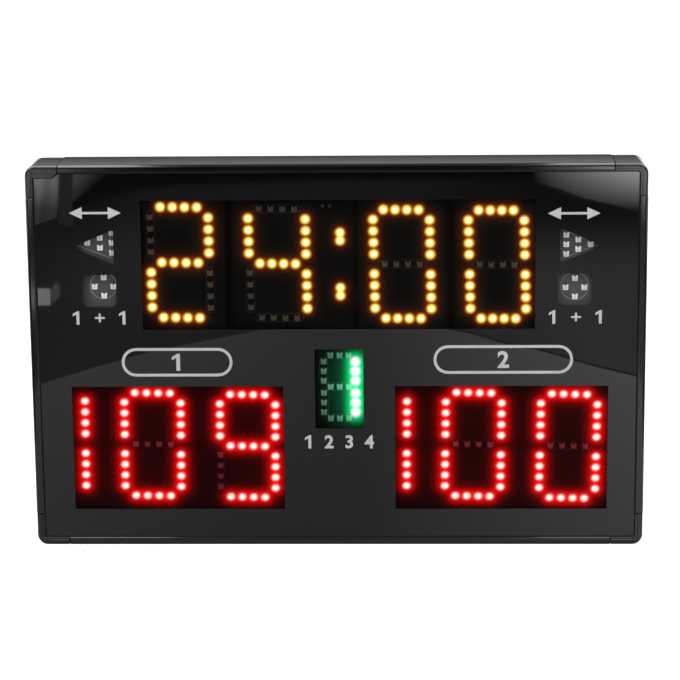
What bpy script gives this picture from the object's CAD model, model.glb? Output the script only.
import math

import bmesh
import bpy
import numpy as np
from mathutils import Matrix, Vector


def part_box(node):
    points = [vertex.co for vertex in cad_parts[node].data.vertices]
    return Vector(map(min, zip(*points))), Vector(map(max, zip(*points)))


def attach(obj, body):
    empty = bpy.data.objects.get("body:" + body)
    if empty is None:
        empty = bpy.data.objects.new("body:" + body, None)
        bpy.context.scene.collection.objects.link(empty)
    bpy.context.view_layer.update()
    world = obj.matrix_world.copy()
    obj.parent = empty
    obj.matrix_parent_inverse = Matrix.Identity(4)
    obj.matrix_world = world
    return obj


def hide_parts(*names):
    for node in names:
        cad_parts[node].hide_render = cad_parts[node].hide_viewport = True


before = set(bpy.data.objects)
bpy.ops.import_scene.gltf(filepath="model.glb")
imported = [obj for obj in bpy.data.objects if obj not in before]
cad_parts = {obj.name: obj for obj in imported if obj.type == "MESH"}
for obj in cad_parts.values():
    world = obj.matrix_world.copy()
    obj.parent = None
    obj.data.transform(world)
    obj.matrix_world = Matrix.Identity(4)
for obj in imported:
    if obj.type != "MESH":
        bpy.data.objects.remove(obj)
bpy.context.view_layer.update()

# Electronic scoreboard. Shapes are modelled in millimetres and turned to metres when a piece is finished.
mm = 0.001
scene = bpy.context.scene
scene.view_settings.view_transform = "Standard"


def boxMm(node):
    low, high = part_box(node)
    return low / mm, high / mm


def middleOf(low, high):
    return (low.x + high.x) / 2, (low.z + high.z) / 2


# camera: matched to the outline and the window corners of the photograph
print("camera")
viewpoint = {
    "lens": 137.44, "sensor": 36, "near": 0.05, "far": 60,
    "place": (76.7, -2321.2, 725), "yaw": -1.846, "pitch": 13.002, "roll": -0.569,
}


def makeCamera(values):
    yaw, pitch, roll = (math.radians(values[key]) for key in ("yaw", "pitch", "roll"))
    ahead = Vector((math.sin(yaw) * math.cos(pitch), math.cos(yaw) * math.cos(pitch), -math.sin(pitch)))
    level = Vector((math.cos(yaw), -math.sin(yaw), 0))
    above = level.cross(ahead)
    right = level * math.cos(roll) + above * math.sin(roll)
    up = above * math.cos(roll) - level * math.sin(roll)
    data = bpy.data.cameras.new("camera")
    data.sensor_width = values["sensor"]
    data.lens = values["lens"]
    data.clip_start = values["near"]
    data.clip_end = values["far"]
    camera = bpy.data.objects.new("camera", data)
    scene.collection.objects.link(camera)
    turn = Matrix((right, up, -ahead)).transposed().to_4x4()
    camera.matrix_world = Matrix.Translation(Vector(values["place"]) * mm) @ turn
    scene.camera = camera


makeCamera(viewpoint)


# helpers for colours and nodes
def linear(hexText):
    # sRGB hex to the linear values that the shader sockets take
    parts = [int(hexText[place:place + 2], 16) / 255 for place in (1, 3, 5)]
    return tuple(c / 12.92 if c <= 0.04045 else ((c + 0.055) / 1.055) ** 2.4 for c in parts) + (1,)


def setStops(elements, stops):
    # stops of a colour ramp are (place, hex or grey value)
    tones = [linear(value) if isinstance(value, str) else (value, value, value, 1) for place, value in stops]
    for element, at in ((elements[1], -1), (elements[0], 0)):
        element.position, element.color = stops[at][0], tones[at]
    for (place, value), tone in zip(stops[1:-1], tones[1:-1]):
        elements.new(place).color = tone


def addNode(tree, kind, settings=None, links=None):
    # links come from a socket, or from a node by its first socket
    node = tree.nodes.new("ShaderNode" + kind)
    for key, value in (settings or {}).items():
        if key == "stops":
            setStops(node.color_ramp.elements, value)
        elif isinstance(key, str) and hasattr(node, key):
            setattr(node, key, value)
        else:
            node.inputs[key].default_value = value
    for key, source in (links or {}).items():
        if isinstance(source, bpy.types.Node):
            source = source.outputs[0]
        tree.links.new(source, node.inputs[key])
    return node


def newMaterial(name):
    material = bpy.data.materials.new(name)
    material.use_nodes = True
    material.node_tree.nodes.clear()
    return material, material.node_tree


def closeMaterial(material, shader, glowing=False):
    addNode(material.node_tree, "OutputMaterial", links={"Surface": shader})
    if glowing:
        material.cycles.emission_sampling = "NONE"  # it is only seen: the lamps do the lighting
    return material


# helpers for meshes
creaseAngle = 35  # degrees: sharper edges than this shade as creases


def paint(faces, slot):
    for face in faces:
        face.material_index = slot
    return list(faces)


def facesOf(verts):
    return {face for vert in verts for face in vert.link_faces}


def bevelled(bm, geom, radius, segments, affect="EDGES", clamp=False):
    return bmesh.ops.bevel(bm, geom=geom, offset=radius, offset_type="OFFSET", affect=affect,
                           segments=segments, profile=0.5, material=-1, clamp_overlap=clamp)


def extruded(bm, faces, vec, keep=False):
    # the new vertices and faces, moved away from the old ones
    made = bmesh.ops.extrude_face_region(bm, geom=faces, use_keep_orig=keep)["geom"]
    verts = [item for item in made if isinstance(item, bmesh.types.BMVert)]
    bmesh.ops.translate(bm, verts=verts, vec=vec)
    return verts, [item for item in made if isinstance(item, bmesh.types.BMFace)]


def addFace(bm, points):
    return bm.faces.new([bm.verts.new(point) for point in points])


def addBlock(bm, low, high, slot=0, bevel=0, segments=2):
    centre = [(a + b) / 2 for a, b in zip(low, high)]
    size = [b - a for a, b in zip(low, high)]
    place = Matrix.Translation(centre) @ Matrix.Diagonal((*size, 1))
    verts = bmesh.ops.create_cube(bm, size=1, matrix=place)["verts"]
    faces = facesOf(verts)
    paint(faces, slot)  # the bevel's remade faces keep it
    if bevel:
        edges = list({edge for vert in verts for edge in vert.link_edges})
        made = bevelled(bm, edges, bevel, segments)
        faces = {face for face in faces if face.is_valid} | set(made["faces"])
    return paint(faces, slot)


def addRod(bm, x, z, radius, nearY, farY, sides, slot=0, farRadius=None):
    # a round or many-sided bar along the depth
    place = Matrix.Translation((x, (nearY + farY) / 2, z)) @ Matrix.Rotation(math.pi / 2, 4, "X")
    verts = bmesh.ops.create_cone(bm, cap_ends=True, segments=sides, radius1=radius,
                                  radius2=radius if farRadius is None else farRadius,
                                  depth=farY - nearY, matrix=place)["verts"]
    return paint(facesOf(verts), slot)


def finishPiece(name, bm, body, materials, replaces=(), outwards=True, weighted=True):
    bmesh.ops.scale(bm, vec=(mm, mm, mm), verts=bm.verts)
    if outwards:
        bmesh.ops.recalc_face_normals(bm, faces=bm.faces)
    for face in bm.faces:
        face.smooth = True
    for edge in bm.edges:
        if len(edge.link_faces) == 2:
            edge.smooth = edge.calc_face_angle(math.pi) < math.radians(creaseAngle)
    mesh = bpy.data.meshes.new(name)
    bm.to_mesh(mesh)
    bm.free()
    for material in materials:
        mesh.materials.append(finishes[material])
    piece = bpy.data.objects.new(name, mesh)
    scene.collection.objects.link(piece)
    if weighted:
        # large faces keep their own normal, so only the small roundings shade as curves
        modifier = piece.modifiers.new("faceNormals", "WEIGHTED_NORMAL")
        modifier.keep_sharp = True
    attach(piece, body)
    if replaces:
        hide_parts(*replaces)
    return piece


print("materials")


def railMetal(name, along):
    # satin black anodised aluminium, extruded: fine die lines run along the rail
    material, tree = newMaterial(name)
    place = addNode(tree, "TexCoord").outputs["Object"]
    stretch = {"x": (0.02, 1, 1), "z": (1, 1, 0.02)}[along]
    lay = addNode(tree, "Mapping", {"Scale": stretch}, {"Vector": place})
    # lines 0.6 mm apart: real die lines are finer
    lines = addNode(tree, "TexNoise", {"Scale": 1600, "Detail": 3, "Roughness": 0.6}, {"Vector": lay})
    cloud = addNode(tree, "TexNoise", {"Scale": 26, "Detail": 4}, {"Vector": place})
    tone = addNode(tree, "ValToRGB", {"stops": [(0.3, "#070707"), (0.7, "#0b0b0c")]}, {"Fac": lines})
    wear = addNode(tree, "ValToRGB", {"stops": [(0.3, 0.07), (0.75, 0.115)]}, {"Fac": cloud})
    bump = addNode(tree, "Bump", {"Strength": 0.07, "Distance": 0.00003}, {"Height": lines})
    skin = addNode(tree, "BsdfPrincipled", {}, {"Base Color": tone, "Roughness": wear, "Normal": bump})
    return closeMaterial(material, skin)


def grainPlastic(name, dark, light, grainMm, depthMm, low, high, washed=0, gloss=0.5):
    # moulded plastic with an eroded tool grain
    material, tree = newMaterial(name)
    place = addNode(tree, "TexCoord").outputs["Object"]
    grain = addNode(tree, "TexNoise", {"Scale": 1 / (grainMm * mm), "Detail": 2, "Roughness": 0.5},
                    {"Vector": place})
    cloud = addNode(tree, "TexNoise", {"Scale": 30, "Detail": 3}, {"Vector": place})
    tone = addNode(tree, "ValToRGB", {"stops": [(0.3, dark), (0.7, light)]}, {"Fac": cloud})
    rough = addNode(tree, "ValToRGB", {"stops": [(0.35, low), (0.65, high)]}, {"Fac": grain})
    bump = addNode(tree, "Bump", {"Strength": 0.35, "Distance": depthMm * mm}, {"Height": grain})
    links = {"Base Color": tone, "Roughness": rough, "Normal": bump}
    if washed:
        # light of the lit LEDs of the same window falls on it, which the attribute "glow" holds
        links["Emission Color"] = addNode(tree, "Attribute", {"attribute_name": "glow"})
    skin = addNode(tree, "BsdfPrincipled", {"Specular IOR Level": gloss, "Emission Strength": washed}, links)
    return closeMaterial(material, skin, washed > 0)


def glossAcrylic(name):
    # cast black acrylic sheet: a mirror-like face with a faint wave and a few wipe marks
    material, tree = newMaterial(name)
    place = addNode(tree, "TexCoord").outputs["Object"]
    wipe = addNode(tree, "Mapping", {"Rotation": (0, 0.5, 0), "Scale": (1, 1, 7)}, {"Vector": place})
    marks = addNode(tree, "TexNoise", {"Scale": 9, "Detail": 5, "Roughness": 0.6}, {"Vector": wipe})
    wave = addNode(tree, "TexNoise", {"Scale": 7, "Detail": 1}, {"Vector": place})
    rough = addNode(tree, "ValToRGB", {"stops": [(0.4, 0.01), (0.75, 0.035)]}, {"Fac": marks})
    bump = addNode(tree, "Bump", {"Strength": 0.1, "Distance": 0.0006}, {"Height": wave})
    skin = addNode(tree, "BsdfPrincipled", {"Base Color": linear("#070708"), "IOR": 1.49},
                   {"Roughness": rough, "Normal": bump})
    return closeMaterial(material, skin)


def smokedLens(name, tint, alpha, rough, glowing=True):
    # thin acrylic sheet; the light of the LEDs spreads in it, which the attribute "glow" holds
    material, tree = newMaterial(name)
    place = addNode(tree, "TexCoord").outputs["Object"]
    haze = addNode(tree, "TexNoise", {"Scale": 60, "Detail": 4}, {"Vector": place})
    frost = addNode(tree, "ValToRGB", {"stops": [(0.3, rough), (0.7, rough + 0.08)]}, {"Fac": haze})
    settings = {"Base Color": linear(tint), "IOR": 1.49, "Alpha": alpha, "Specular IOR Level": 0.03}
    links = {"Roughness": frost}
    if glowing:
        settings["Emission Strength"] = 1 / alpha
        links["Emission Color"] = addNode(tree, "Attribute", {"attribute_name": "glow"})
    return closeMaterial(material, addNode(tree, "BsdfPrincipled", settings, links), True)


def circuitBoard(name, mask, track):
    # glass-fibre board under solder mask: copper tracks show as faint raised lines
    material, tree = newMaterial(name)
    place = addNode(tree, "TexCoord").outputs["Object"]
    swap = addNode(tree, "Mapping", {"Rotation": (math.pi / 2, 0, 0)}, {"Vector": place})
    tracks = addNode(tree, "TexBrick", {"Scale": 160, "Mortar Size": 0.06, "Mortar Smooth": 0.3,
                                        "Color1": (0, 0, 0, 1), "Color2": (0, 0, 0, 1),
                                        "Mortar": (1, 1, 1, 1)}, {"Vector": swap})
    weave = addNode(tree, "TexNoise", {"Scale": 1500, "Detail": 1}, {"Vector": place})
    tone = addNode(tree, "ValToRGB", {"stops": [(0, mask), (1, track)]}, {"Fac": tracks})
    rough = addNode(tree, "ValToRGB", {"stops": [(0.3, 0.42), (0.7, 0.55)]}, {"Fac": weave})
    bump = addNode(tree, "Bump", {"Strength": 0.3, "Distance": 0.00004}, {"Height": tracks})
    skin = addNode(tree, "BsdfPrincipled", {}, {"Base Color": tone, "Roughness": rough, "Normal": bump})
    return closeMaterial(material, skin)


def zincPlate(name):
    # bright zinc plating on steel: cloudy, slightly blue, with fine crystals
    material, tree = newMaterial(name)
    place = addNode(tree, "TexCoord").outputs["Object"]
    cloud = addNode(tree, "TexNoise", {"Scale": 90, "Detail": 5, "Roughness": 0.6}, {"Vector": place})
    cells = addNode(tree, "TexVoronoi", {"Scale": 420}, {"Vector": place})
    tone = addNode(tree, "ValToRGB", {"stops": [(0.3, "#a6aaad"), (0.7, "#bfc2c5")]}, {"Fac": cloud})
    rough = addNode(tree, "ValToRGB", {"stops": [(0.3, 0.28), (0.7, 0.38)]}, {"Fac": cloud})
    bump = addNode(tree, "Bump", {"Strength": 0.1, "Distance": 0.00004}, {"Height": cells})
    skin = addNode(tree, "BsdfPrincipled", {"Metallic": 1.0},
                   {"Base Color": tone, "Roughness": rough, "Normal": bump})
    return closeMaterial(material, skin)


def litResin(name, colour, hot, strength):
    # LED resin over a lit die: it reads as a white-hot disc with a tinted rim
    material, tree = newMaterial(name)
    place = addNode(tree, "TexCoord").outputs["Object"]
    die = addNode(tree, "TexNoise", {"Scale": 900, "Detail": 1}, {"Vector": place})
    spread = addNode(tree, "ValToRGB", {"stops": [(0.2, colour), (0.6, hot)]}, {"Fac": die})
    skin = addNode(tree, "BsdfPrincipled", {"Base Color": linear("#e8e6df"), "Roughness": 0.2,
                                            "Emission Strength": strength}, {"Emission Color": spread})
    return closeMaterial(material, skin, True)


finishes = {
    "railX": railMetal("anodisedAluminiumAlongX", "x"),
    "railZ": railMetal("anodisedAluminiumAlongZ", "z"),
    "cap": grainPlastic("mouldedCapPlastic", "#0a0a0a", "#0f0f0f", 0.5, 0.012, 0.1, 0.16),
    "panel": glossAcrylic("glossBlackAcrylic"),
    "lens": smokedLens("smokedWindowAcrylic", "#040404", 0.53, 0.3),
    "redLens": smokedLens("darkSmokedWindowAcrylic", "#010101", 0.7, 0.3),
    "clearLens": smokedLens("clearWindowAcrylic", "#4a4a48", 0.05, 0.2, glowing=False),
    "ledBoard": circuitBoard("blackSolderMask", "#0c0d0e", "#151718"),
    "greyBoard": circuitBoard("greySolderMask", "#353636", "#404242"),
    "greenBoard": circuitBoard("greenSolderMask", "#14502c", "#2a7a46"),
    "ledHousing": grainPlastic("whiteLedHousing", "#e4e3df", "#f0efec", 0.4, 0.01, 0.4, 0.5, washed=2.2),
    "ivoryHousing": grainPlastic("ivoryLedHousing", "#e4c3a2", "#f0d0ae", 0.4, 0.01, 0.4, 0.5, washed=2.2),
    "redHousing": grainPlastic("redLitLedHousing", "#b4aeaa", "#c8c2be", 0.4, 0.01, 0.4, 0.5, washed=1.2),
    "ledResin": grainPlastic("clearLedResin", "#c9c7be", "#d8d6ce", 0.6, 0.01, 0.12, 0.2, washed=1.2),
    "ink": grainPlastic("silkscreenInk", "#8a8d8e", "#9a9d9e", 0.3, 0.01, 0.5, 0.6),
    "print": grainPlastic("lightGreyScreenInk", "#a0a0a0", "#aaaaaa", 0.4, 0.01, 0.45, 0.6),
    "nylon": grainPlastic("offWhiteNylon", "#cfccc0", "#dedbd0", 0.8, 0.02, 0.45, 0.55),
    "zinc": zincPlate("zincPlatedSteel"),
    "back": grainPlastic("texturedBackPlastic", "#161617", "#1d1d1e", 0.7, 0.12, 0.5, 0.68),
    "rubber": grainPlastic("blackTipRubber", "#0f0f0f", "#171717", 0.5, 0.05, 0.7, 0.85),
    "seal": grainPlastic("blackSealRubber", "#060606", "#0b0b0b", 0.4, 0.03, 0.8, 0.9, gloss=0.12),
    "switch": grainPlastic("blackSwitchNylon", "#0e0e0e", "#151515", 0.4, 0.02, 0.3, 0.42),
    "lead": grainPlastic("wireSleeveBraid", "#1a1a1e", "#26262b", 0.9, 0.2, 0.6, 0.75),
    "litAmber": litResin("litAmberLed", "#ffc95a", "#ffe08c", 2),
    "litRed": litResin("litRedLed", "#ff9a8c", "#fff0e4", 1.2),
    "litGreen": litResin("litGreenLed", "#b4ffcf", "#ffffff", 4),
}


# frame rails: an extruded section with lip, panel rib, back ledge and rear flange
print("rails")
rail = {
    "width": 560, "height": 356, "depth": 50, "front": -25,
    "wall": 1.6, "frontRound": 2.8, "rearRound": 0.8, "lipRound": 0.75, "edgeRound": 0.4,
    "endChamfer": 0.15, "endReach": 0.7,
    "lip": (7.4, 0, 1.6), "rib": (6, 5.2, 6.6), "ledge": (9, 36.1, 37.7), "flange": (4, 48.4, 50),
    "capLeg": 29.5, "seam": 0.95,
    # the black seal cord shows as a dull line between the lip and the gloss panel
    "seal": [(7.1, 0.9), (7.9, 1.0), (8.25, 1.3), (8.35, 1.85), (7.1, 1.85)],
}


def sectionLoop(outer, wall):
    # corners of the section as (inwards, depth), round from the front outer corner
    lip, rib, ledge, flange = rail["lip"], rail["rib"], rail["ledge"], rail["flange"]
    return [
        (outer, 0), (lip[0], 0), (lip[0], lip[2]), (wall, lip[2]),
        (wall, rib[1]), (rib[0], rib[1]), (rib[0], rib[2]), (wall, rib[2]),
        (wall, ledge[1]), (ledge[0], ledge[1]), (ledge[0], ledge[2]), (wall, ledge[2]),
        (wall, flange[1]), (flange[0], flange[1]), (flange[0], flange[2]), (outer, flange[2]),
    ]


def roundLong(bm, test, radius, segments):
    bevelled(bm, [edge for edge in bm.edges if test(edge)], radius, segments)


def edgeAt(edge, inwards, depth):
    # true for an edge that runs along the rail at this place of the section
    ends, shortest, near = edge.verts, 1, 0.01
    if abs(ends[0].co.x - ends[1].co.x) < shortest:
        return False
    return all(abs(vert.co.z - inwards) < near and abs(vert.co.y - depth) < near for vert in ends)


def extrudeLoop(bm, loop, length):
    face = addFace(bm, [(-length / 2, depth, inwards) for inwards, depth in loop])
    return facesOf(extruded(bm, [face], (length, 0, 0))[0])


def makeRail(node, length, turn, shift, finish):
    bm = bmesh.new()
    extrudeLoop(bm, sectionLoop(0, rail["wall"]), length)
    lip, flange, small = rail["lip"], rail["flange"], rail["edgeRound"]
    for inwards, depth, radius, segments in (
            (0, 0, rail["frontRound"], 8), (0, rail["depth"], rail["rearRound"], 4),
            (lip[0], 0, rail["lipRound"], 4), (lip[0], lip[2], small, 2),
            (flange[0], rail["depth"], small, 2), (flange[0], flange[1], small, 2)):
        roundLong(bm, lambda e: edgeAt(e, inwards, depth), radius, segments)
    for end in (-length / 2, length / 2):
        # the saw cut's rim is broken on the outer face and the lip
        roundLong(bm, lambda e: all(abs(v.co.x - end) < 0.01 and min(v.co.y, v.co.z) < rail["endReach"]
                                    for v in e.verts), rail["endChamfer"], 1)
    paint(extrudeLoop(bm, rail["seal"], length + 1), 1)
    bmesh.ops.translate(bm, verts=bm.verts, vec=(0, rail["front"], 0))
    bmesh.ops.rotate(bm, verts=bm.verts, cent=(0, 0, 0), matrix=Matrix.Rotation(turn, 3, "Y"))
    bmesh.ops.translate(bm, verts=bm.verts, vec=shift)
    finishPiece(node + "_extrusion", bm, "case", [finish, "seal"], [node])


halfX, halfZ = rail["width"] / 2, rail["height"] / 2
legs = (rail["capLeg"] + rail["seam"]) * 2
for name, length, turn, shift, finish in (
        ("bottom", rail["width"] - legs, 0, (0, 0, 0), "railX"),
        ("top", rail["width"] - legs, math.pi, (0, 0, rail["height"]), "railX"),
        ("left", rail["height"] - legs, math.pi / 2, (-halfX, 0, halfZ), "railZ"),
        ("right", rail["height"] - legs, -math.pi / 2, (halfX, 0, halfZ), "railZ")):
    makeRail(name + "_rail", length, turn, shift, finish)


# corner caps: the same section with a beaded front edge, swept round the corner
print("corner caps")
cap = {
    "radius": 10, "step": 0.4, "body": 0.55, "wall": 2.6, "frontRound": 1.8, "rearRound": 0.8,
    "groove": (3.4, 0.5), "lipGroove": (5.3, 0.25), "lipRound": 0.2, "turns": 14,
    # blocks as (inwards from, to, depth from, to, length past the leg): the short ones fill the seam
    # to a groove, the long ones lie behind the rail's lip, wall and flange
    "webs": (
        (2, 7, 0.6, 1.7, 0.9), (1.2, 2.2, 1.2, 4.2, 0.9), (0.6, 1.7, 4.2, 49.3, 0.9),
        (0.6, 3.9, 48.3, 49.3, 0.9), (1, 7.2, 1.62, 1.86, 3), (1.62, 1.88, 6.7, 36, 3),
        (1.62, 2.6, 37.8, 48.38, 3), (1.62, 3.9, 47.6, 48.38, 3),
    ),
    "tongue": (1.9, 5.9, 6.9, 35.8, 22), "tongueRound": 0.3,
    # the tab that only the top left cap has, and the seal cord round it
    "tab": {"drop": 4, "chamfer": 5, "thick": 1.2, "root": 1.2},
    "cord": {"wide": 0.9, "corner": 0.4, "past": 1, "thick": 0.25},
}


def capLoop():
    # the rail's section: the front bead stands proud of the body, with a groove between the two
    loop = sectionLoop(cap["step"], cap["wall"])
    depth, bite = cap["groove"]
    inwards, dip = cap["lipGroove"]
    line = [(inwards - dip, 0), (inwards, dip), (inwards + dip, 0)]
    return (loop[:1] + line + loop[1:-1]
            + [(cap["body"], rail["depth"]), (cap["body"], depth + bite), (cap["body"] + bite, depth),
               (cap["step"], depth - bite / 2)])


def sweepRound(bm, loop):
    # along one leg, round the corner and along the other leg
    radius, leg = cap["radius"], rail["capLeg"] - cap["radius"]
    old = set(bm.faces)
    face = addFace(bm, [(rail["capLeg"], depth, inwards) for inwards, depth in loop])
    last = extruded(bm, [face], (-leg, 0, 0))[1]
    spun = bmesh.ops.spin(bm, geom=last, cent=(radius, 0, radius), axis=(0, 1, 0),
                          angle=math.pi / 2, steps=cap["turns"], use_duplicate=False)
    extruded(bm, [item for item in spun["geom_last"] if isinstance(item, bmesh.types.BMFace)], (0, 0, leg))
    fresh = {vert for face in bm.faces if face not in old for vert in face.verts}
    bmesh.ops.remove_doubles(bm, verts=list(fresh), dist=0.001)
    # the section faces left inside the sweep would bend the shading
    inner = [face for face in bm.faces if all(len(edge.link_faces) > 2 for edge in face.edges)]
    bmesh.ops.delete(bm, geom=inner, context="FACES_ONLY")
    return [face for face in bm.faces if face not in old]


def onRim(edge, inwards, depth):
    # true for an edge that follows the cap round its corner at this place of the section
    radius, shortest, near = cap["radius"], 0.2, 0.01

    def inset(vert):
        x, z = vert.co.x, vert.co.z
        if x > radius:
            return z
        if z > radius:
            return x
        return radius - math.hypot(x - radius, z - radius)

    first, second = edge.verts
    if (first.co - second.co).length < shortest or abs(first.co.y - second.co.y) > near:
        return False
    return all(abs(inset(v) - inwards) < 0.05 and abs(v.co.y - depth) < near for v in edge.verts)


def addLegBlocks(bm, values, slot, bevel=0):
    # the same block along both legs
    low, high, near, far, length = values
    start, end = rail["capLeg"] - 1, rail["capLeg"] + length
    addBlock(bm, (start, near, low), (end, far, high), slot, bevel)
    addBlock(bm, (low, near, start), (high, far, end), slot, bevel)


def addTab(bm):
    tab, cord, legEnd = cap["tab"], cap["cord"], rail["capLeg"]
    lip, drop, front = rail["lip"][0], rail["lip"][0] + tab["drop"], rail["lip"][2]
    outline = [(lip, lip - tab["root"]), (lip, drop), (legEnd - tab["chamfer"], drop), (legEnd, lip),
               (legEnd, lip - tab["root"])]
    extruded(bm, [addFace(bm, [(x, front - tab["thick"], z) for x, z in outline])], (0, tab["thick"], 0))
    drop, end = drop + cord["wide"], legEnd + cord["past"]
    outline = [(lip, drop), (legEnd - tab["chamfer"] + cord["corner"], drop), (end, lip + cord["wide"]),
               (end, lip - cord["past"]), (lip, lip - cord["past"])]
    face = addFace(bm, [(x, front, z) for x, z in outline])
    for part in extruded(bm, [face], (0, cord["thick"], 0))[1] + [face]:
        paint({side for edge in part.edges for side in edge.link_faces}, 1)


def makeCap(node, sideX, sideZ):
    # built for the lower left corner, then mirrored to its place
    bm = bmesh.new()
    sweepRound(bm, capLoop())
    for inwards, depth, radius, segments in (
            (cap["step"], 0, cap["frontRound"], 6), (cap["body"], rail["depth"], cap["rearRound"], 3),
            (rail["lip"][0], 0, cap["lipRound"], 3)):
        roundLong(bm, lambda e: onRim(e, inwards, depth), radius, segments)
    paint(sweepRound(bm, rail["seal"]), 1)
    for web in cap["webs"]:
        addLegBlocks(bm, web, 1)
    addLegBlocks(bm, cap["tongue"], 0, cap["tongueRound"])
    if node == "corner_cap_top_left":
        addTab(bm)
    bmesh.ops.translate(bm, verts=bm.verts, vec=(-rail["width"] / 2, rail["front"], 0))
    if sideX > 0:
        bmesh.ops.scale(bm, vec=(-1, 1, 1), verts=bm.verts)
    if sideZ > 0:
        bmesh.ops.scale(bm, vec=(1, 1, -1), verts=bm.verts)
        bmesh.ops.translate(bm, verts=bm.verts, vec=(0, 0, rail["height"]))
    finishPiece(node + "_moulding", bm, "case", ["cap", "seal"], [node])


for rise, sideZ in (("bottom", -1), ("top", 1)):
    for side, sideX in (("left", -1), ("right", 1)):
        makeCap(f"corner_cap_{rise}_{side}", sideX, sideZ)


# front panel: the acrylic sheet with its cut-outs, their edges flame polished
print("front panel")
soft = {"weld": 0.000002, "flat": 1, "sharp": 40}  # metres, degrees, degrees


def softened(node, suffix, body, finish, bevel):
    # a merged copy of the CAD solid with its sharp edges rounded
    bm = bmesh.new()
    bm.from_mesh(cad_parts[node].data)
    bmesh.ops.remove_doubles(bm, verts=bm.verts, dist=soft["weld"])
    bmesh.ops.dissolve_limit(bm, angle_limit=math.radians(soft["flat"]), verts=bm.verts, edges=bm.edges)
    bmesh.ops.scale(bm, vec=(1 / mm,) * 3, verts=bm.verts)
    if bevel:
        sharp = [edge for edge in bm.edges
                 if len(edge.link_faces) == 2 and edge.calc_face_angle() > math.radians(soft["sharp"])]
        bevelled(bm, sharp, bevel, 2, clamp=True)
    finishPiece(f"{node}_{suffix}", bm, body, [finish], [node], outwards=False)


softened("front_panel", "sheet", "case", "panel", 0.25)


# LED boards
print("LED boards")
board = {
    "front": -15.0, "back": -13.4, "corner": 1.5,
    "postFront": -19.8, "postRadius": 2.5, "postInset": 4, "lensLap": 3, "lensGap": 0.3,
    "nut": (2.2, 1.8, 1.4),  # radius at the board, radius behind, height
    "plug": (7, 3, -6.4), "plugWall": 0.8, "plugDepth": 4,
    "outline": 0.45, "inkSunk": 0.04, "inkThick": 0.05, "washBehind": 0.5,
}
led = {"size": 5, "front": -16.6, "housingBack": 0.1, "round": 0.12, "discThick": 0.14, "taper": 0.9,
       "litDisc": 0.4, "unlitDisc": 0.22, "unlitDrop": 0.16}
# front of an unlit LED one unit wide: the housing is notched at the top, which marks its cathode
notchedHousing = [(-0.46, -0.5), (0.46, -0.5), (0.54, 0.48), (0.2, 0.48), (0, 0.14), (-0.2, 0.48),
                  (-0.54, 0.48)]
# each channel is a list of (strength, reach in mm, steepness) of the light round one lit LED
glowOf = {
    "amber": ([(1.05, 4.6, 6), (0.05, 8, 6), (0.012, 10, 2)],
              [(0.4, 3.5, 4), (0.74, 4, 4), (0.004, 10, 2)],
              [(0.5, 2.1, 4), (0.3, 3.2, 4)]),
    "red": ([(0.4, 4, 4), (0.34, 7.4, 6), (0.16, 9, 3), (0.034, 12, 3), (0.0035, 28, 2)],
            [(0.96, 3, 4), (0.12, 3.4, 4)],
            [(0.69, 3, 4), (0.2, 3.5, 4)]),
    "green": ([(0.95, 4.6, 8)],
              [(0.18, 5, 4), (0.13, 8, 6), (0.43, 9, 3), (0.03, 18, 2)],
              [(0.27, 4.5, 4), (0.51, 5, 4), (0.07, 8, 6), (0.05, 9, 3), (0.015, 16, 2)]),
    # what the unlit LEDs of a board catch from the lit ones
    "redWash": ([(0.28, 26, 2)], [(0.028, 26, 2)], [(0.045, 26, 2)]),
    "greenWash": ([(0.045, 30, 2)], [(0.18, 30, 2)], [(0.1, 30, 2)]),
}
wideOf = {"red": 1.045}  # the scores' LEDs throw slightly wide ovals
scoreArea = {"colour": "red", "window": (0, 116.5), "mask": "ledBoard", "housing": "redHousing",
             "lit": "litRed", "most": 1.2}
areas = {
    "clock": {"colour": "amber", "window": (0, 119), "mask": "ledBoard", "housing": "ivoryHousing",
              "lit": "litAmber", "most": 3},
    "home": scoreArea,
    "guest": scoreArea,
    "period": {"colour": "green", "window": (44.4, 0), "mask": "ledBoard", "housing": "ledHousing",
               "lit": "litGreen", "most": 3},
    "indicators": {"colour": None, "window": (37.8, 0), "mask": "greyBoard", "housing": "ledHousing",
                   "lit": "litAmber"},
}


def glowAt(points, lights, most):
    # summed light of the lit LEDs (x, z, colour) at points of x and z
    total = np.zeros((len(points), 4), np.float32)
    total[:, 3] = 1
    for x, z, colour in lights:
        wide = wideOf.get(colour, 1)
        away = np.hypot((points[:, 0] - x) / wide, (points[:, 1] - z) * wide)
        for channel, terms in enumerate(glowOf[colour]):
            for strength, reachMm, steep in terms:
                total[:, channel] += strength * np.exp(-(away / reachMm) ** steep)
    total[:, :3] = np.minimum(total[:, :3], most)
    return total


def paintGlow(piece, lights, rise, most, behind):
    # nothing glows behind the given depth
    places = np.zeros(len(piece.data.vertices) * 3, np.float32)
    piece.data.vertices.foreach_get("co", places)
    places = places.reshape(-1, 3) / mm
    glow = glowAt(places[:, [0, 2]] - np.array([0, rise]), lights, most)
    glow[places[:, 1] > behind, :3] = 0
    attribute = piece.data.attributes.new("glow", "FLOAT_COLOR", "POINT")
    attribute.data.foreach_set("color", glow.ravel())


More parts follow.
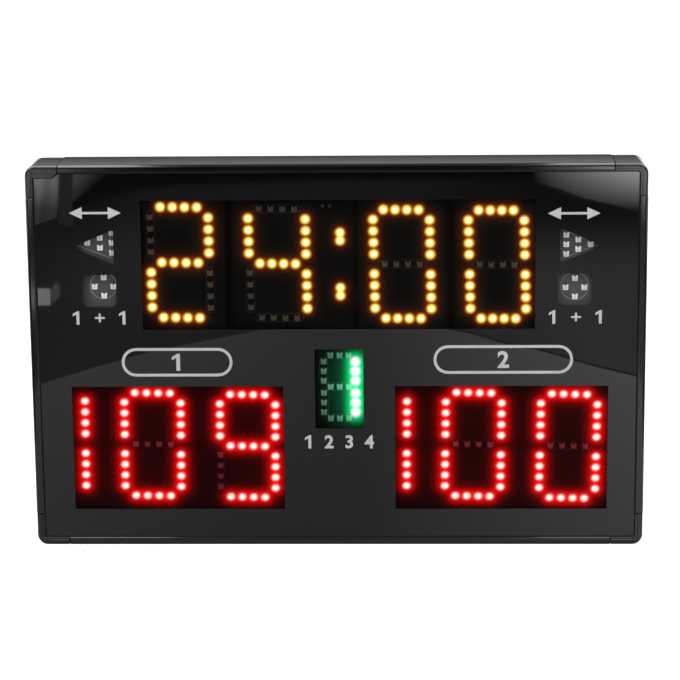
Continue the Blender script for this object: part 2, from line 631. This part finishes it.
def addLed(bm, x, z, size, lit):
    # top-view LED: a housing, with a resin disc over its die
    face, disc = led["front"] + led["housingBack"], size * (led["litDisc"] if lit else led["unlitDisc"])
    if lit:
        half = size / 2
        addBlock(bm, (x - half, face, z - half), (x + half, board["front"], z + half), 3,
                 led["round"] * size / led["size"], 1)
    else:
        front = addFace(bm, [(x + u * size, face, z + w * size) for u, w in notchedHousing])
        back = extruded(bm, [front], (0, board["front"] - face, 0))[0]
        paint(facesOf(back) | {front}, 3)
        z -= led["unlitDrop"] * size
    addRod(bm, x, z, disc, led["front"], led["front"] + led["discThick"], 14, 5 if lit else 4,
           disc * led["taper"])


roundGap = 0.2  # what is left straight at the round ends of printed shapes


def roundedSheet(bm, x, y, z, width, height):
    # one flat face with round ends, facing the front
    place = Matrix.Translation((x, y, z)) @ Matrix.Rotation(math.pi / 2, 4, "X")
    sheet = bmesh.ops.create_grid(bm, x_segments=1, y_segments=1, size=0.5,
                                  matrix=place @ Matrix.Diagonal((width, height, 1, 1)))["verts"]
    made = bevelled(bm, sheet, min(width, height) / 2 - roundGap, 6, "VERTICES")
    return list(facesOf(made["verts"]))


def rimOf(bm, faces, thickness):
    # leaves only a rim of a flat shape
    rim = bmesh.ops.inset_region(bm, faces=faces, thickness=thickness, use_boundary=True,
                                 use_even_offset=True)["faces"]
    bmesh.ops.delete(bm, geom=[face for face in faces if face.is_valid], context="FACES")
    return rim


def addOutline(bm, faces):
    # a silkscreen line: the rim of a flat shape, given a little height
    rim = rimOf(bm, faces, board["outline"])
    raised = extruded(bm, rim, (0, board["inkThick"], 0), keep=True)[0]
    paint(facesOf(raised) | set(rim), 6)


def makeBoard(plan, area, lights):
    node = plan["node"]
    low, high = boxMm(node)
    x0, z0 = middleOf(low, high)
    front, back = board["front"], board["back"]
    bm = bmesh.new()
    plate = addBlock(bm, (low.x, front, low.z), (high.x, back, high.z), 0)
    corners = {edge for face in plate for edge in face.edges
               if abs(edge.verts[0].co.y - edge.verts[1].co.y) > 1}
    bevelled(bm, list(corners), board["corner"], 3)
    # spacing posts stand beside the lens, or else near the board's edge
    gap = board["lensLap"] + board["lensGap"] + board["postRadius"]
    width, height = area["window"]
    spread = width / 2 + gap if width else (high.x - low.x) / 2 - board["postInset"]
    rise = height / 2 + gap if height else (high.z - low.z) / 2 - board["postInset"]
    nutRadius, nutTop, nutHeight = board["nut"]
    for x in (x0 - spread, x0 + spread):
        for z in (z0 - rise, z0 + rise):
            addRod(bm, x, z, board["postRadius"], board["postFront"], front, 6, 1)
            addRod(bm, x, z, nutRadius, back, back + nutHeight, 12, 1, nutTop)
    plugX, plugZ, plugBack = board["plug"]
    shroud = addBlock(bm, (x0 - plugX, back, z0 - plugZ), (x0 + plugX, plugBack, z0 + plugZ), 2)
    mouth = [face for face in shroud if face.normal.y > 0.9]
    bmesh.ops.inset_region(bm, faces=mouth, thickness=board["plugWall"])
    bmesh.ops.translate(bm, verts=list({v for face in mouth for v in face.verts}),
                        vec=(0, -board["plugDepth"], 0))
    for x, z, width, height in plan["bars"]:
        addOutline(bm, roundedSheet(bm, x0 + x, front - board["inkSunk"], z0 + z, width, height))
    if plan["arrow"]:
        # the indicator arrow is drawn round its LEDs
        arrow = addFace(bm, [(x0 + x, front - board["inkSunk"], z0 + z) for x, z in plan["arrow"]])
        arrow.normal_update()
        addOutline(bm, [arrow])
    for x, z, size, lit in plan["leds"]:
        addLed(bm, x0 + x, z0 + z, size, lit)
    materials = [area["mask"], "zinc", "nylon", area["housing"], "ledResin", area["lit"], "ink"]
    piece = finishPiece(node + "_assembly", bm, "case", materials, [node], weighted=False)
    if lights:
        wash = area["colour"] + "Wash"
        if wash in glowOf:
            lights = [(x, z, wash) for x, z, colour in lights]
        paintGlow(piece, lights, 0, area["most"], front + board["washBehind"])


# where the LEDs and the silkscreen bars are, measured from the middle of each board
segmentsOf = {"0": "abcdef", "1": "bc", "2": "abged", "4": "fgbc", "9": "abcdfg"}
barWidth = 8
clockDigit = {"column": 53, "row": 50.8, "pitchX": 11, "pitchZ": 10.7, "perBar": 4, "rise": -0.6}
scoreDigit = {"column": 51.4, "row": 49.1, "pitchX": 10.65, "pitchZ": 10.2, "perBar": 4, "rise": 0}
periodDigit = {"column": 29.2, "row": 29.8, "pitchX": 8.3, "pitchZ": 9.1, "perBar": 3, "rise": 0}
colon = {"x": 2.2, "row": 25.4, "gap": 3.65, "rise": -0.6,
         "markerX": -10, "markerZ": 52.8, "markerGap": 3.15, "markerSize": 2.2}
indicator = {
    "ledRadius": 8.5,
    "left": {"lanes": (16.7, 5.9, -5.5), "pitch": 9.2, "rise": 3.2, "arrow": (15.4, 14.6, -22.1),
             "bonus": (8.5, 2.8), "ring": (8, 3.3, 12.3)},
    "right": {"lanes": (-13.1, -2.3, 8.8), "pitch": 8.8, "rise": 0.2, "arrow": (-19.2, 14.6, 17.3),
              "bonus": (-4.9, 0.7), "ring": (-5.1, 1.6, 12.8)},
}
# the digits stand a little off their even places: (right, up, width, height, slant, lean)
offsets = {
    "clock_digit_board_1": (0, 1.9, 1, 1.004, -0.008, -0.015),
    "clock_digit_board_2": (0.6, 0.7, 0.974, 0.992, -0.014, -0.018),
    "clock_digit_board_3": (-0.1, -0.3, 0.962, 0.985, -0.019, -0.012),
    "clock_digit_board_4": (-2.35, -0.95, 0.948, 0.98, -0.025, -0.009),
    "home_hundreds_board": (-0.7, 3, 1, 1.008, 0.015, 0),
    "home_tens_board": (-0.15, 1.8, 1.006, 0.996, 0.013, -0.019),
    "home_ones_board": (-0.5, 0.2, 0.992, 0.992, 0.011, -0.02),
    "guest_hundreds_board": (-0.8, 2.25, 1, 1.004, 0.007, 0),
    "guest_tens_board": (-1.6, 1.3, 0.991, 0.998, 0.012, -0.022),
    "guest_ones_board": (-2.5, -0.35, 1, 1.002, 0.015, -0.023),
    "period_board": (0.36, 0.4, 1, 0.996, 0, 0),
}
plans = {area: [] for area in areas}


def addPlan(area, node, leds, bars=(), arrow=None):
    # LEDs are (x, z, size, lit), bars are (x, z, width, height)
    right, up, wide, tall, slant, lean = offsets.get(node, (0, 0, 1, 1, 0, 0))
    leds, bars = ([(x * wide + z * slant + right, z * tall + x * lean + up, *rest) for x, z, *rest in spots]
                  for spots in (leds, bars))
    plans[area].append({"node": node, "leds": leds, "bars": bars, "arrow": arrow})


def sevenBars(values, figure):
    # the LEDs and the bars of a seven-bar digit that shows the figure
    halfX, row, rise, count = values["column"] / 2, values["row"], values["rise"], values["perBar"]
    centres = {
        "a": (0, row, False), "b": (halfX, row / 2, True), "c": (halfX, -row / 2, True),
        "d": (0, -row, False), "e": (-halfX, -row / 2, True), "f": (-halfX, row / 2, True),
        "g": (0, 0, False),
    }
    leds, bars = [], []
    for letter, (x, z, upright) in centres.items():
        pitch = values["pitchZ"] if upright else values["pitchX"]
        for place in range(count):
            along = (place - (count - 1) / 2) * pitch
            leds.append((x + (0 if upright else along), z + rise + (along if upright else 0), led["size"],
                         letter in segmentsOf[figure]))
        size = (barWidth, count * pitch)
        bars.append((x, z + rise, *(size if upright else size[::-1])))
    return leds, bars


for place, figure in enumerate("2400"):
    addPlan("clock", f"clock_digit_board_{place + 1}", *sevenBars(clockDigit, figure))
leds = [(colon["x"], side * colon["row"] + step * colon["gap"] + colon["rise"], led["size"], True)
        for side in (-1, 1) for step in (-1, 1)]
leds += [(colon["markerX"] + step * colon["markerGap"], colon["markerZ"], colon["markerSize"], False)
         for step in (-1, 1)]
addPlan("clock", "colon_board", leds)
for team, figures in (("home", "09"), ("guest", "00")):
    # a plain 1: its two bars stand in the middle of the board
    half, pitch, count = scoreDigit["row"] / 2, scoreDigit["pitchZ"], scoreDigit["perBar"]
    leds = [(0, side * half + (place - (count - 1) / 2) * pitch, led["size"], True)
            for side in (-1, 1) for place in range(count)]
    bars = [(0, side * half, barWidth, count * pitch) for side in (-1, 1)]
    addPlan(team, team + "_hundreds_board", leds, bars)
    for digit, figure in zip(("tens", "ones"), figures):
        addPlan(team, f"{team}_{digit}_board", *sevenBars(scoreDigit, figure))
addPlan("period", "period_board", *sevenBars(periodDigit, "1"))
for name in ("left", "right"):
    spots = indicator[name]
    rise = spots["rise"]
    leds = [(x, (place - (2 - lane) / 2) * spots["pitch"] + rise, led["size"], False)
            for lane, x in enumerate(spots["lanes"]) for place in range(3 - lane)]
    base, half, tip = spots["arrow"]
    addPlan("indicators", name + "_possession_board", leds,
            arrow=[(base, rise - half), (base, rise + half), (tip, rise)])
    x, z = spots["bonus"]
    leds = [(x + indicator["ledRadius"] * math.cos(turn * math.pi / 2),
             z + indicator["ledRadius"] * math.sin(turn * math.pi / 2), led["size"], False)
            for turn in range(4)]
    x, z, radius = spots["ring"]
    addPlan("indicators", name + "_bonus_board", leds, [(x, z, radius * 2, radius * 2)])

lightsIn = {}
for name, area in areas.items():
    lights = lightsIn[name] = []
    for plan in plans[name]:
        x0, z0 = middleOf(*boxMm(plan["node"]))
        lights += [(x0 + x, z0 + z, area["colour"]) for x, z, size, lit in plan["leds"] if lit]
    for plan in plans[name]:
        makeBoard(plan, area, lights)


# window lenses: the light of the lit LEDs spreads in the smoked sheet
print("window lenses")
lens = {"spacing": 1.0, "rise": 0.7, "most": 1.05, "plainSpacing": 20}


def makeLens(node, lights, finish):
    low, high = boxMm(node)
    x0, z0 = middleOf(low, high)
    wide, tall = high.x - low.x, high.z - low.z
    spacing = lens["spacing"] if lights else lens["plainSpacing"]
    bm = bmesh.new()
    place = Matrix.Translation((x0, low.y, z0)) @ Matrix.Rotation(math.pi / 2, 4, "X")
    bmesh.ops.create_grid(bm, x_segments=round(wide / spacing), y_segments=round(tall / spacing),
                          size=0.5, matrix=place @ Matrix.Diagonal((wide, tall, 1, 1)))
    border = [edge for edge in bm.edges if edge.is_boundary]
    made = bmesh.ops.extrude_edge_only(bm, edges=border)["geom"]
    bmesh.ops.translate(bm, verts=[v for v in made if isinstance(v, bmesh.types.BMVert)],
                        vec=(0, high.y - low.y, 0))
    bmesh.ops.edgeloop_fill(bm, edges=[e for e in made if isinstance(e, bmesh.types.BMEdge)])
    piece = finishPiece(node + "_sheet", bm, "case", [finish], [node], weighted=False)
    if lights:
        paintGlow(piece, lights, lens["rise"], lens["most"], (low.y + high.y) / 2)


for name, sources, finish in (
        ("clock", ("clock", "period"), "lens"), ("home", ("home",), "redLens"),
        ("guest", ("guest",), "redLens"), ("period", ("period",), "lens"),
        ("left_indicator", (), "clearLens"), ("right_indicator", (), "clearLens")):
    makeLens(name + "_lens", [light for source in sources for light in lightsIn[source]], finish)


# printed marks on the panel: plain figures and signs in light grey screen ink
print("printed marks")
marks = {
    "front": -23.1, "thick": 0.05, "ring": 2.6, "bold": 0.03,
    "figure": (15, 12.6), "teamFigure": (0.72, 0.6), "teamShift": 1,
    "teamOne": (-146.3, 160.3, 101.4, 26.7), "teamTwo": (150.9, 162.2, 126.7, 26.7),
    "scale": {"one": -26, "two": -8.2, "pitch": 18.4, "z": 92},
    "arrow": (23.5, 11), "arrows": {"left": (-217.4, 306.6), "right": (213.8, 304.6)},
    "plus": 14, "ones": (-20, 22), "bonuses": {"left": (-215.8, 209), "right": (216.4, 208.6)},
}
# outlines one unit high: (x, z) round the shape
figureOne = [(-0.09, 0), (0.09, 0), (0.09, 1), (-0.03, 1), (-0.3, 0.8), (-0.3, 0.62), (-0.09, 0.76)]
plusSign = [(-0.07, 0.18), (0.07, 0.18), (0.07, 0.43), (0.32, 0.43), (0.32, 0.57), (0.07, 0.57),
            (0.07, 0.82), (-0.07, 0.82), (-0.07, 0.57), (-0.32, 0.57), (-0.32, 0.43), (-0.07, 0.43)]
twoWayArrow = [(-1, 0.5), (-0.5, 0), (-0.5, 0.4), (0.5, 0.4), (0.5, 0), (1, 0.5), (0.5, 1), (0.5, 0.6),
               (-0.5, 0.6), (-0.5, 1)]


def addShape(bm, outline, x, z, width, height):
    addFace(bm, [(x + u * width, 0, z + w * height) for u, w in outline])


def addFigure(bm, text, x, z, height):
    # a plain figure of the built-in font, a little bolder, centred on x
    data = bpy.data.curves.new("figure", "FONT")
    data.body = text
    data.resolution_u = 5
    data.offset = marks["bold"]
    drawn = bpy.data.objects.new("figure", data)
    scene.collection.objects.link(drawn)
    bpy.context.view_layer.update()
    mesh = bpy.data.meshes.new_from_object(drawn.evaluated_get(bpy.context.evaluated_depsgraph_get()))
    bpy.data.objects.remove(drawn)
    spots = [vert.co.copy() for vert in mesh.vertices]
    left, right = min(spot.x for spot in spots), max(spot.x for spot in spots)
    foot, top = min(spot.y for spot in spots), max(spot.y for spot in spots)
    scale = height / (top - foot)
    shift = Matrix.Translation((x - (left + right) / 2 * scale, 0, z - foot * scale))
    mesh.transform(shift @ Matrix.Scale(scale, 4) @ Matrix.Rotation(math.pi / 2, 4, "X"))
    before = set(bm.verts)
    bm.from_mesh(mesh)
    bmesh.ops.remove_doubles(bm, verts=[vert for vert in bm.verts if vert not in before], dist=0.001)
    bpy.data.meshes.remove(mesh)


def markPiece(name, bm):
    # gives the flat drawing the thickness of the ink and lays it on the panel's face
    for face in bm.faces:
        face.normal_update()
        if face.normal.y > 0:
            face.normal_flip()
    extruded(bm, bm.faces[:], (0, -marks["thick"], 0), keep=True)
    bmesh.ops.translate(bm, verts=bm.verts, vec=(0, marks["front"], 0))
    finishPiece(name, bm, "case", ["print"], weighted=False)


def teamMark(name, figure, x, z, width, height):
    # the team's number in a lozenge-shaped ring
    bm = bmesh.new()
    rimOf(bm, roundedSheet(bm, x, 0, z + height / 2, width, height), marks["ring"])
    wide, tall = (share * height for share in marks["teamFigure"])
    foot = z + (height - tall) / 2
    if figure == "1":
        addShape(bm, figureOne, x + marks["teamShift"], foot, wide, tall)
    else:
        addFigure(bm, figure, x, foot, tall)
    markPiece(name, bm)


teamMark("team_one_mark", "1", *marks["teamOne"])
teamMark("team_two_mark", "2", *marks["teamTwo"])
scale, (oneWidth, tall) = marks["scale"], marks["figure"]
bm = bmesh.new()
addShape(bm, figureOne, scale["one"], scale["z"], oneWidth, tall)
for place, figure in enumerate("234"):
    addFigure(bm, figure, scale["two"] + place * scale["pitch"], scale["z"], tall)
markPiece("period_scale_mark", bm)
for side, (x, z) in marks["arrows"].items():
    bm = bmesh.new()
    addShape(bm, twoWayArrow, x, z, *marks["arrow"])
    markPiece(side + "_arrow_mark", bm)
for side, (x, z) in marks["bonuses"].items():
    bm = bmesh.new()
    addShape(bm, plusSign, x, z, marks["plus"], tall)
    for step in marks["ones"]:
        addShape(bm, figureOne, x + step, z, oneWidth, tall)
    markPiece(side + "_bonus_mark", bm)


# back: panel, hangers, stand, switch, inlet, horn, boards, screws and leads
print("back")
softened("back_panel", "moulding", "case", "back", 0.2)
for side in ("left", "right"):
    softened("keyhole_hanger_" + side, "pressing", "case", "zinc", 0.25)
    softened("stand_bracket_" + side, "moulding", "case", "cap", 0.3)
for node, suffix, body, bevel in (("switch_housing", "moulding", "case", 0.2),
                                  ("switch_rocker", "moulding", "rocker", 0.2),
                                  ("dc_inlet", "moulding", "case", 0.15), ("horn", "case", "case", 0.2)):
    softened(node, suffix, body, "switch", bevel)
for node in ("control_board", "receiver_board"):
    softened(node, "assembly", "case", "greenBoard", 0.1)

screw = {"head": 3, "height": 1.8, "shank": 1.5, "tip": 1.5, "tipRadius": 0.75,
         "cross": (2.6, 0.55, 0.9), "crossTop": 0.12}


def makeScrew(node):
    # a domed head with a dark cross recess, and a shank with a tapered tip
    low, high = boxMm(node)
    x, z = middleOf(low, high)
    seat = high.y - screw["height"]
    bm = bmesh.new()
    dome = bmesh.ops.create_uvsphere(bm, u_segments=24, v_segments=12, radius=screw["head"])["verts"]
    bmesh.ops.rotate(bm, verts=dome, cent=(0, 0, 0), matrix=Matrix.Rotation(-math.pi / 2, 3, "X"))
    cut = bmesh.ops.bisect_plane(bm, geom=bm.verts[:] + bm.edges[:] + bm.faces[:], plane_co=(0, 0, 0),
                                 plane_no=(0, 1, 0), clear_inner=True)
    bmesh.ops.edgeloop_fill(bm, edges=[e for e in cut["geom_cut"] if isinstance(e, bmesh.types.BMEdge)])
    bmesh.ops.scale(bm, vec=(1, screw["height"] / screw["head"], 1), verts=bm.verts)
    bmesh.ops.translate(bm, verts=bm.verts, vec=(x, seat, z))
    tipEnd = low.y + screw["tip"]
    addRod(bm, x, z, screw["tipRadius"], low.y, tipEnd, 12, 0, screw["shank"])
    addRod(bm, x, z, screw["shank"], tipEnd, seat, 12)
    length, width, sunk = screw["cross"]
    for a, b in ((length, width), (width, length)):
        addBlock(bm, (x - a / 2, high.y - sunk, z - b / 2),
                 (x + a / 2, high.y - screw["crossTop"], z + b / 2), 1)
    finishPiece(node + "_turned", bm, "case", ["zinc", "switch"], [node])


for name in ("top_left", "top_middle", "top_right", "bottom_left", "bottom_middle", "bottom_right", "left",
             "right"):
    makeScrew("back_screw_" + name)

# the line printed on the upper half of the rocker
rockerMark = {"place": (236, 17.17, 55.6), "halfWidth": 0.35, "halfLength": 1.6, "sunk": 0.02, "thick": 0.06}
x, y, z = rockerMark["place"]
bm = bmesh.new()
addBlock(bm, (x - rockerMark["halfWidth"], y - rockerMark["sunk"], z - rockerMark["halfLength"]),
         (x + rockerMark["halfWidth"], y + rockerMark["thick"], z + rockerMark["halfLength"]))
finishPiece("rocker_on_mark", bm, "rocker", ["print"])

for name in ("clock", "home", "guest", "period", "power", "inlet", "horn"):
    softened(name + "_lead", "sleeve", "case", "lead", 0)
softened("stand_leg", "wire", "stand", "zinc", 0)
for side in ("left", "right"):
    softened("stand_tip_" + side, "sleeve", "stand", "rubber", 0.2)


# stage: floor, cards that the gloss reflects, and lights
print("stage")
stage = {
    "ambient": 0.5, "floorGlow": 0.72, "floor": 8, "floorTone": "#e6e6e6",
    "streakTurn": -0.134, "streakStretch": 60, "streakTone": (0.35, 0.65, 0.6, 1.15),
    "far": 3.2, "side": 1.6, "wall": 3.5,
}


def studioCard(name, corners, material, glossOnly=True):
    bm = bmesh.new()
    addFace(bm, corners)
    mesh = bpy.data.meshes.new(name)
    bm.to_mesh(mesh)
    bm.free()
    mesh.materials.append(material)
    plane = bpy.data.objects.new(name, mesh)
    scene.collection.objects.link(plane)
    if glossOnly:
        # it is only there for the reflections, and neither lights nor shades the object
        plane.visible_camera = plane.visible_diffuse = plane.visible_shadow = False
        plane.visible_transmission = False


def whiteForCamera(tree, plain, white):
    # the white level for rays that see the backdrop straight or in gloss or through clear sheet
    path = addNode(tree, "LightPath").outputs
    seen = addNode(tree, "Math", {"operation": "MAXIMUM"},
                   {0: path["Is Camera Ray"], 1: path["Is Glossy Ray"]})
    seen = addNode(tree, "Math", {"operation": "MAXIMUM"}, {0: seen, 1: path["Is Transmission Ray"]})
    return addNode(tree, "MapRange", {"To Min": plain, "To Max": white}, {"Value": seen})


def paperFloor(name):
    # white seamless paper: it reads white, and keeps the object's shadow
    material, tree = newMaterial(name)
    strength = whiteForCamera(tree, 0, stage["floorGlow"])
    paper = addNode(tree, "BsdfDiffuse", {"Color": linear(stage["floorTone"])})
    glow = addNode(tree, "Emission", {"Color": (1, 1, 1, 1)}, {"Strength": strength})
    return closeMaterial(material, addNode(tree, "AddShader", {}, {0: paper, 1: glow}))


def cardMaterial(name, *ramps, streaks=0):
    # emission that changes over the card: each ramp is (axis, from, to, value, value)
    material, tree = newMaterial(name)
    place = addNode(tree, "TexCoord").outputs["Object"]
    parts = addNode(tree, "SeparateXYZ", {}, {"Vector": place}).outputs
    ramps = [(parts[axis], *values) for axis, *values in ramps]
    if streaks:
        lie = addNode(tree, "Mapping", {"vector_type": "TEXTURE", "Rotation": (0, 0, stage["streakTurn"]),
                                        "Scale": (1, stage["streakStretch"], 1)}, {"Vector": place})
        lines = addNode(tree, "TexNoise", {"Scale": streaks, "Detail": 2}, {"Vector": lie})
        ramps.append((lines, *stage["streakTone"]))
    strength = None
    for source, start, end, first, last in ramps:
        step = addNode(tree, "MapRange", {"From Min": start, "From Max": end, "To Min": first, "To Max": last},
                       {"Value": source})
        if strength is None:
            strength = step
        else:
            strength = addNode(tree, "Math", {"operation": "MULTIPLY"}, {0: strength, 1: step})
    return closeMaterial(material, addNode(tree, "Emission", {"Color": (1, 1, 1, 1)}, {"Strength": strength}))


def greyPaper(name, share):
    # paper beyond the light pool: its light along the depth differs between its left and right half
    material, tree = newMaterial(name)
    place = addNode(tree, "TexCoord").outputs["Object"]
    parts = addNode(tree, "SeparateXYZ", {}, {"Vector": place}).outputs
    depth = addNode(tree, "MapRange", {"From Min": -2.1, "From Max": -0.8}, {"Value": parts["Y"]})
    left = addNode(tree, "ValToRGB", {"stops": [
        (0.04, 0.14), (0.21, 0.14), (0.31, 0.19), (0.41, 0.255), (0.5, 0.3), (0.6, 0.335), (0.74, 0.32),
        (0.88, 0.26), (0.96, 0.24)]}, {"Fac": depth})
    right = addNode(tree, "ValToRGB", {"stops": [
        (0.06, 0.03), (0.21, 0.045), (0.32, 0.085), (0.41, 0.2), (0.5, 0.34), (0.58, 0.46), (0.67, 0.55),
        (0.8, 0.58), (0.96, 0.56)]}, {"Fac": depth})
    side = addNode(tree, "MapRange", {"From Min": 0.03, "From Max": 0.28}, {"Value": parts["X"]})
    mixed = addNode(tree, "Mix", {}, {0: side, 2: left, 3: right})
    rim = addNode(tree, "MapRange", {"From Min": -0.46, "From Max": -0.36, "To Min": 0.58 * share,
                                     "To Max": share}, {"Value": parts["X"]})
    strength = addNode(tree, "Math", {"operation": "MULTIPLY"}, {0: mixed, 1: rim})
    return closeMaterial(material, addNode(tree, "Emission", {"Color": (1, 1, 1, 1)}, {"Strength": strength}))


def floorCard(name, height, outline, *ramps, streaks=0):
    first, *words = name.split("_")
    paper = cardMaterial(first + "".join(word.title() for word in words), *ramps, streaks=streaks)
    studioCard(name, [(x, y, height) for x, y in outline], paper)


world = bpy.data.worlds.new("studio")
scene.world = world
world.use_nodes = True
tree = world.node_tree
tree.nodes.clear()
level = whiteForCamera(tree, stage["ambient"], 1)
sky = addNode(tree, "Background", {"Color": (1, 1, 1, 1)}, {"Strength": level})
addNode(tree, "OutputWorld", {}, {"Surface": sky})

reach = stage["floor"]
studioCard("floor", [(-reach, -reach, 0), (reach, -reach, 0), (reach, reach, 0), (-reach, reach, 0)],
           paperFloor("whitePaperFloor"), glossOnly=False)

# the panel mirrors the floor in front of it: a light pool with an arched edge, grey and black beyond
archEdge = [(-0.52, -0.46), (-0.369, -0.611), (-0.307, -0.709), (-0.255, -0.78), (-0.198, -0.835),
            (-0.121, -0.902), (-0.026, -0.927), (0.05, -0.93), (0.09, -0.923), (0.138, -0.88),
            (0.175, -0.828), (0.222, -0.782), (0.279, -0.703), (0.333, -0.645), (0.5, -0.45)]
bandEdge = [(0.6, -1.97), (0.269, -2.02), (0.109, -2.04), (-0.061, -2.048), (-0.213, -2.02),
            (-0.334, -1.99), (-0.393, -1.945), (-0.449, -1.865), (-0.48, -1.76), (-0.9, -1.66)]
# a dark line follows the arch, where the paper of the pool ends
greyEdge = [(x, y - (0.014 if x > 0 else 0.006)) for x, y in archEdge]
far, side, foot = -stage["far"], stage["side"], -0.018

floorCard("light_pool_card", 0.0045, [(-0.6, 0)] + archEdge + [(0.6, 0)],
          ("X", 0.02, 0.3, 0.5, 1.25), ("X", -0.3, -0.05, 1.42, 1), ("Y", -0.9, -0.1, 1.15, 0.85))
for step, share in enumerate((0.35, 0.55, 0.78, 1)):
    # stacked sheets, each a little shorter, give the band a soft edge
    shape = [(-0.9, -0.5)] + greyEdge + [(0.9, -0.5)] + [(x, y + 0.02 * step - 0.03) for x, y in bandEdge]
    studioCard(f"grey_card_{step}", [(x, y, 0.003 + 0.0002 * step) for x, y in shape],
               greyPaper(f"greyPaperCard{step}", share))
floorCard("black_card", 0.0005, [(-side, foot), (-side, far), (side, far), (side, foot)],
          ("X", -1, 1, 0.01, 0.01))
# below the other cards: what the rounded foot of the bottom rail mirrors
floorCard("foot_card", 0.001, [(-0.6, -0.2), (0.6, -0.2), (0.6, foot), (-0.6, foot)],
          ("X", -1, 1, 0.45, 0.5))
wall = stage["wall"]
studioCard("black_front_card", [(-side, far, 0), (side, far, 0), (side, far, wall), (-side, far, wall)],
           cardMaterial("blackFlagCard", ("X", -1, 1, 0.01, 0.01)))
floorCard("right_window_card", 0.005,
          [(0.271, -2.14), (0.266, -1.997), (0.304, -1.928), (0.339, -1.842), (0.379, -1.786), (0.418, -1.723),
           (0.6, -1.7), (0.6, -2.4), (0.29, -2.4)],
          ("X", 0.265, 0.45, 0, 7), ("Y", -2.12, -1.75, 1, 0.05))
floorCard("left_window_card", 0.005,
          [(-0.8, -2.5), (-0.8, -1.5), (-0.53, -1.585), (-0.519, -1.62), (-0.509, -1.645), (-0.5, -1.67),
           (-0.49, -1.695), (-0.508, -1.835), (-0.527, -1.979), (-0.549, -2.143), (-0.6, -2.5)],
          ("Y", -2.03, -1.76, 3.6, 0.85), streaks=60)
floorCard("left_pane_card", 0.005,
          [(-0.56, -2.4), (-0.523, -2.142), (-0.484, -1.83), (-0.481, -1.86), (-0.476, -1.92), (-0.47, -2.018),
           (-0.463, -2.095), (-0.445, -2.4)],
          ("Y", -2.12, -1.95, 1.3, 1.1), ("X", -0.522, -0.474, 1, 0.15))
floorCard("left_mullion_card", 0.004,
          [(-0.6, -2.5), (-0.549, -2.143), (-0.527, -1.979), (-0.508, -1.835), (-0.48, -1.64), (-0.455, -1.62),
           (-0.484, -1.83), (-0.523, -2.142), (-0.56, -2.5)],
          ("Y", -2.1, -1.7, 0.3, 0.27))
floorCard("left_lamp_card", 0.005, [(-0.6, -1.165), (-0.426, -1.155), (-0.411, -1.048), (-0.6, -1.033)],
          ("X", -0.46, -0.4, 3.7, 3))
floorCard("left_lamp_rim_card", 0.005,
          [(-0.424, -1.146), (-0.424, -1.202), (-0.416, -1.175), (-0.406, -1.11), (-0.407, -1.08),
           (-0.41, -1.055)],
          ("X", -0.43, -0.405, 1.2, 0.7))

# overhead: two bright ceiling panes beside a darker middle, which light the rounded top edges
leftSeam = [(-0.311, 0.9), (-0.285, -0.3), (-0.33, -1.2), (-0.417, -2.2)]
rightSeam = [(0.255, 0.9), (0.243, -0.3), (0.264, -1.2), (0.304, -2.2)]
for name, outline, value in (("left", [(-2.2, 0.9)] + leftSeam + [(-2.2, -2.2)], 8),
                             ("middle", leftSeam + rightSeam[::-1], 0.4),
                             ("right", rightSeam + [(2.2, -2.2), (2.2, 0.9)], 7)):
    floorCard(name + "_ceiling_card", 1.4, outline, ("X", -3, 3, value, value))
# behind the top edge: the flat top face picks up more light towards the front
studioCard("rear_card", [(-0.6, 0.036, 0.357), (0.6, 0.036, 0.357), (0.6, 0.036, 0.5), (-0.6, 0.036, 0.5)],
           cardMaterial("rearCard", ("Z", 0.357, 0.375, 0.1, 0.65)))


lamps = {
    "top_softbox": {"place": (0, -0.5, 1.6), "aim": (0, 0, 0.2), "size": (1.8, 0.9), "power": 18},
    "left_softbox": {"place": (-1.5, -1.6, 1.3), "aim": (0, 0, 0.18), "size": (0.9, 0.9), "power": 14},
    "right_softbox": {"place": (1.5, -1.6, 1.3), "aim": (0, 0, 0.18), "size": (0.9, 0.9), "power": 14},
}


def areaLight(name, place, aim, size, power):
    data = bpy.data.lights.new(name, "AREA")
    data.shape = "RECTANGLE"
    data.size, data.size_y = size
    data.energy = power
    light = bpy.data.objects.new(name, data)
    scene.collection.objects.link(light)
    turn = (Vector(aim) - Vector(place)).to_track_quat("-Z", "Y").to_matrix().to_4x4()
    light.matrix_world = Matrix.Translation(place) @ turn
    light.visible_glossy = False


for name, values in lamps.items():
    areaLight(name, **values)
